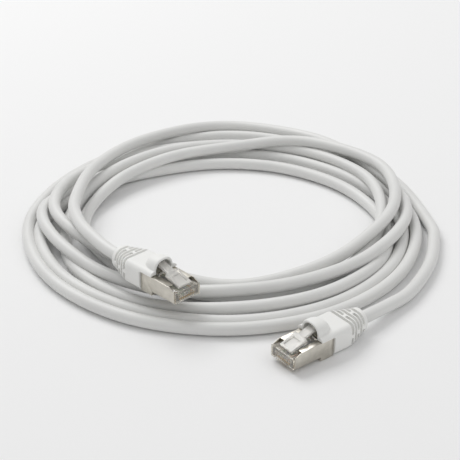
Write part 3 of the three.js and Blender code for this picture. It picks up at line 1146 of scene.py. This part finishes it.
    def shape(self) -> Form:
        """Joins the body, the rails and the hood, and bores them for the sleeve and the cable.

        Returns:
            The form.
        """
        s = self.sizes
        p = self.plug
        base = p.rear_top + self.hood.clearance
        bore_start = s.front - s.bore_reach
        boot = self.body(s.front, s.end)
        boot.cut(*[self.slot_ring(index) for index in range(s.ribs)])
        rail = Form.loft([self.ring(x) for x in (p.step_x, s.front + PAST)])
        rail.cut(Form.block((0, -FAR, -FAR), (s.end, FAR, base)))
        hood, room = self.hooded()
        boot.join(rail, hood).cut(room)
        boot.cut(Form.barrel(s.sleeve_bore, bore_start, s.plain_to - s.bore_step, p.cable_axis))
        boot.cut(Form.barrel(s.cable_bore, bore_start, s.end + PAST, p.cable_axis))
        return boot.moulded(s.grain, s.softness)


@dataclass(frozen=True)
class Shell(Piece):
    """The plated sheet-metal shell round the clear body, with its sizes in millimetres."""

    LABEL = "shield"
    SLOT = "shield"

    slope: float = 2.4
    roof_drop: float = 0.4
    roof_from: float = 3.9
    wall_top: float = 4.9
    latch_half: float = 3.4
    latch_to: float = 13.6
    blades_margin: float = 0.6
    blades_to: float = 4.6
    edge: float = 0.09

    def outline(self, inset: float, start: float, end: float) -> list[Flat]:
        """Gives the shell's side outline.

        Args:
            inset: How far inside the surface it runs.
            start: Where it starts.
            end: Where it ends.

        Returns:
            Points of x and z.
        """
        p = self.plug
        return [
            (start, p.nose_bottom + inset),
            (p.step_x + inset, p.nose_bottom + inset),
            (p.step_x + inset, inset),
            (end, inset),
            (end, p.rear_top - inset),
            (start + self.slope, p.rear_top - self.roof_drop - inset),
            (start, p.nose_top - inset),
        ]

    def shape(self) -> Form:
        """Folds the shell, then opens its ends, its roof and its underside.

        Returns:
            The form.
        """
        p = self.plug
        front = p.nose_lip + p.gap
        inside = p.width / 2 - p.sheet
        blades = inside - self.blades_margin
        shell = Form.slab(self.outline(0, front, p.length), p.width / 2)
        shell.cut(Form.slab(self.outline(p.sheet, front - PAST, p.length + PAST), inside))
        shell.cut(Form.block((0, -inside, self.wall_top), (self.roof_from, inside, FAR)))
        shell.cut(Form.block((0, -self.latch_half, p.nose_top),
                             (self.latch_to, self.latch_half, FAR)))
        shell.cut(Form.block((0, -blades, -PAST),
                             (self.blades_to, blades, p.nose_bottom + PAST)))
        return shell.bevelled(self.edge, 2, 25)


@dataclass(frozen=True)
class Housing(Piece):
    """The clear moulded body with its contact slots and wire channel, millimetres."""

    LABEL = "housing"
    SLOT = "clear"

    channel_margin: float = 0.7
    channel_from: float = 1.0
    wire_room: float = 0.55
    bar_from: float = 7.3
    bar_bottom: float = 2.55
    bar_top: float = 4.4
    mouth_wall: float = 1.2
    mouth_half: float = 4.45
    mouth_top: float = 6.45
    slot_half: float = 0.31
    slot_to: float = 4.0
    slot_top: float = 3.5
    edge: float = 0.12

    def solid(self) -> Form:
        """Gives the body and its wider lip, uncut.

        Returns:
            The form.
        """
        p = self.plug
        inset = p.sheet + p.gap
        body = Form.slab([
            (p.nose_lip, p.nose_bottom + inset), (p.step_x + inset, p.nose_bottom + inset),
            (p.step_x + inset, inset), (p.length, inset), (p.length, p.rear_top - inset),
            (p.step_x, p.rear_top - inset), (p.step_x, p.nose_top), (p.nose_lip, p.nose_top),
        ], p.width / 2 - inset)
        lip = [(0, p.nose_bottom), (p.nose_lip, p.nose_bottom), (p.nose_lip, p.nose_top),
               (0, p.nose_top)]
        return body.join(Form.slab(lip, p.width / 2))

    def shape(self) -> Form:
        """Cuts the wires' channel, the load bar's room, the mouth and the blades' slots.

        Returns:
            The form.
        """
        p = self.plug
        back = p.length + PAST
        half = p.outer_contact + self.channel_margin
        wires = (p.wire_height - self.wire_room, p.wire_height + self.wire_room)
        body = self.solid()
        body.cut(Form.block((self.channel_from, -half, wires[0]), (back, half, wires[1])))
        body.cut(Form.block((self.bar_from, -half, self.bar_bottom), (back, half, self.bar_top)))
        body.cut(Form.block((p.step_x + self.mouth_wall, -self.mouth_half, self.mouth_wall),
                            (back, self.mouth_half, self.mouth_top)))
        for index in range(p.contact_count):
            y = index * p.contact_pitch - p.outer_contact
            body.cut(Form.block((-PAST, y - self.slot_half, 0),
                                (self.slot_to, y + self.slot_half, self.slot_top)))
        return body.bevelled(self.edge, 2, 40)


@dataclass(frozen=True)
class Latch(Piece):
    """The clear lever: its root on the nose, the catch shoulders and the thumb tail."""

    LABEL = "latch"
    SLOT = "clear"
    # The lever finish is the whiter, less clear copy of the clear plastic: painted reflection.
    FINISH = "lever"
    MOVES = True

    root_x: float = 1.4
    root_rise: float = 0.75
    slope: float = 16.5
    run: float = 13.6
    half_thick: float = 0.5
    plate_to: float = 7.2
    plate_half: float = 3.0
    tail_from: float = 5.0
    tail_half: float = 1.7
    panel: tuple[Flat, ...] = ((1.0, 0.15), (6.2, 0.15), (6.2, 2.0), (1.0, 2.0))
    panel_half: float = 1.9
    catch: tuple[Flat, ...] = ((5.2, 0.3), (7.2, 0.3), (7.2, 1.0))
    catch_half: float = 2.9
    edge: float = 0.16

    def bar(self, start: float, end: float, half: float) -> Form:
        """Gives a flat bar of the lever's thickness."""
        return Form.block((start, -half, -self.half_thick), (end, half, self.half_thick))

    def shape(self) -> Form:
        """Shapes the lever lying flat, then raises it about its root.

        Returns:
            The form.
        """
        lever = self.bar(0, self.plate_to, self.plate_half)
        lever.join(self.bar(self.tail_from, self.run, self.tail_half))
        lever.cut(Form.slab(self.panel, self.panel_half))
        lever.join(Form.slab(self.catch, self.catch_half))
        lever.bevelled(self.edge, 3, 40)
        root = Matrix.Translation((self.root_x, 0, self.plug.nose_top + self.root_rise))
        return lever.carried(root @ Matrix.Rotation(-math.radians(self.slope), 4, "Y"))


@dataclass(frozen=True)
class Contacts(Piece):
    """The row of gold blades, each standing in its slot under a wire."""

    LABEL = "contacts"
    SLOT = "gold"
    NODES = tuple(f"contact_{index + 1}" for index in range(PlugSizes.contact_count))
    SHARP = 30.0

    outline: tuple[Flat, ...] = ((0.7, 2.35), (0.95, 2.05), (1.5, 1.95), (3.2, 1.95),
                                 (3.7, 2.2), (3.7, 3.4), (0.7, 3.4))
    half_thick: float = 0.16
    edge: float = 0.05

    def shape(self) -> Form:
        """Makes one blade and repeats it across the plug.

        Returns:
            The form.
        """
        p = self.plug
        blade = Form.slab(self.outline, self.half_thick).bevelled(self.edge, 2, 30)
        blade.carried(Matrix.Translation((0, -p.outer_contact, 0)))
        return blade.repeated(p.contact_count, (0, p.contact_pitch, 0))


class Plug:
    """One plug: rebuilt outer pieces, and finishes for the CAD pieces kept inside it."""

    REBUILT = (Boot, Shell, Housing, Latch, Contacts)
    KEPT = {
        "load_bar": "bar",
        "screen_braid": "braid",
        "crimp_sleeve": "shield",
        **{wire.name: wire.name for wire in WIRES},
    }

    def __init__(self, place: PlugFrame, finishes: dict[str, bpy.types.Material]) -> None:
        """Keeps where the plug is and the materials by name."""
        self.place = place
        self.finishes = finishes

    def build(self) -> list[bpy.types.Object]:
        """Returns:
            Every piece of the plug that shows, CAD nodes among them.
        """
        made = [kind().build(self.place, self.finishes) for kind in self.REBUILT]
        for label, finish in self.KEPT.items():
            node = frame["nodes"][self.place.named(label)]
            node.material_slots[0].material = self.finishes[finish]
            made.append(node)
            log.info("%s: CAD node, finished as %s", node.name, finish)
        return made


# -------------------- camera, light and floor


@dataclass(frozen=True)
class Panel:
    """A soft light panel facing the coil: its place and size in metres, its power in watts."""

    name: str
    at: Point
    size: Flat
    power: float
    aim: Point = (0.0, 0.0, 0.01)


@dataclass(frozen=True)
class Studio:
    """The camera, a pale floor and soft light, in metres and degrees about the bench."""

    shift: Vector
    focal_mm: float = 98.1391
    sensor_mm: float = 36.0
    tilt: float = 30.0
    reach: float = 0.503
    nearest: float = 0.01
    farthest: float = 20.0
    floor_size: float = 3.0
    floor_height: float = -0.0002
    floor_colour: Colour = (0.88, 0.88, 0.88)
    world_strength: float = 0.52
    panels: tuple[Panel, ...] = (
        Panel("key", (-0.5, 0.7, 1.1), (1.0, 0.8), 10.4),
        Panel("fill", (0.7, -0.3, 0.9), (0.9, 0.9), 1.7),
    )

    def camera(self) -> None:
        """Sets up the camera."""
        lens = bpy.data.cameras.new("camera")
        lens.lens = self.focal_mm
        lens.sensor_width = self.sensor_mm
        lens.clip_start = self.nearest
        lens.clip_end = self.farthest
        camera = placed("camera", lens)
        tilt = math.radians(self.tilt)
        back = Vector((0, -math.cos(tilt), math.sin(tilt)))
        camera.location = self.shift + self.reach * back
        camera.rotation_euler = (math.pi / 2 - tilt, 0, 0)
        bpy.context.scene.camera = camera

    def hang(self, panel: Panel) -> None:
        """Hangs a light panel.

        Args:
            panel: Its place, size, power and aim.
        """
        light = bpy.data.lights.new(panel.name, "AREA")
        light.shape = "RECTANGLE"
        light.size, light.size_y = panel.size
        light.energy = panel.power
        lamp = placed(panel.name, light)
        lamp.location = self.shift + Vector(panel.at)
        facing = Vector(panel.aim) - Vector(panel.at)
        lamp.rotation_euler = facing.to_track_quat("-Z", "Y").to_euler()

    def floor(self) -> None:
        """Lays the floor."""
        work = bmesh.new()
        bmesh.ops.create_grid(work, x_segments=2, y_segments=2, size=self.floor_size)
        mesh = bpy.data.meshes.new("floor")
        work.to_mesh(mesh)
        work.free()
        floor = placed("floor", mesh)
        floor.location = (0, 0, self.floor_height)
        shader = Shader("floor", {
            "Base Color": (*self.floor_colour, 1),
            "Roughness": 0.75,
            "Specular IOR Level": 0.2,
        })
        mesh.materials.append(shader.material)

    def world(self) -> None:
        """Lights everything softly from all round."""
        world = bpy.data.worlds.new("world")
        bpy.context.scene.world = world
        world.use_nodes = True
        background = world.node_tree.nodes["Background"]
        background.inputs["Color"].default_value = (1, 1, 1, 1)
        background.inputs["Strength"].default_value = self.world_strength

    def build(self) -> None:
        """Sets up everything but the object."""
        bpy.context.scene.view_settings.view_transform = "Standard"
        self.camera()
        self.floor()
        self.world()
        for panel in self.panels:
            self.hang(panel)


def main() -> None:
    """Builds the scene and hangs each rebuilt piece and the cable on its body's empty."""
    logging.basicConfig(level=logging.INFO, format="%(message)s")
    shift = bench_shift()
    Studio(shift).build()
    places = {end: PlugFrame(end, shift) for end in End}
    finishes = {finish.name: finish.material() for finish in FINISHES}
    Plug(places[End.A], finishes).build()
    partners = Plug(places[End.B], finishes).build()
    Cable(places).build(finishes["jacket"], partners)


if __name__ == "__main__":
    main()
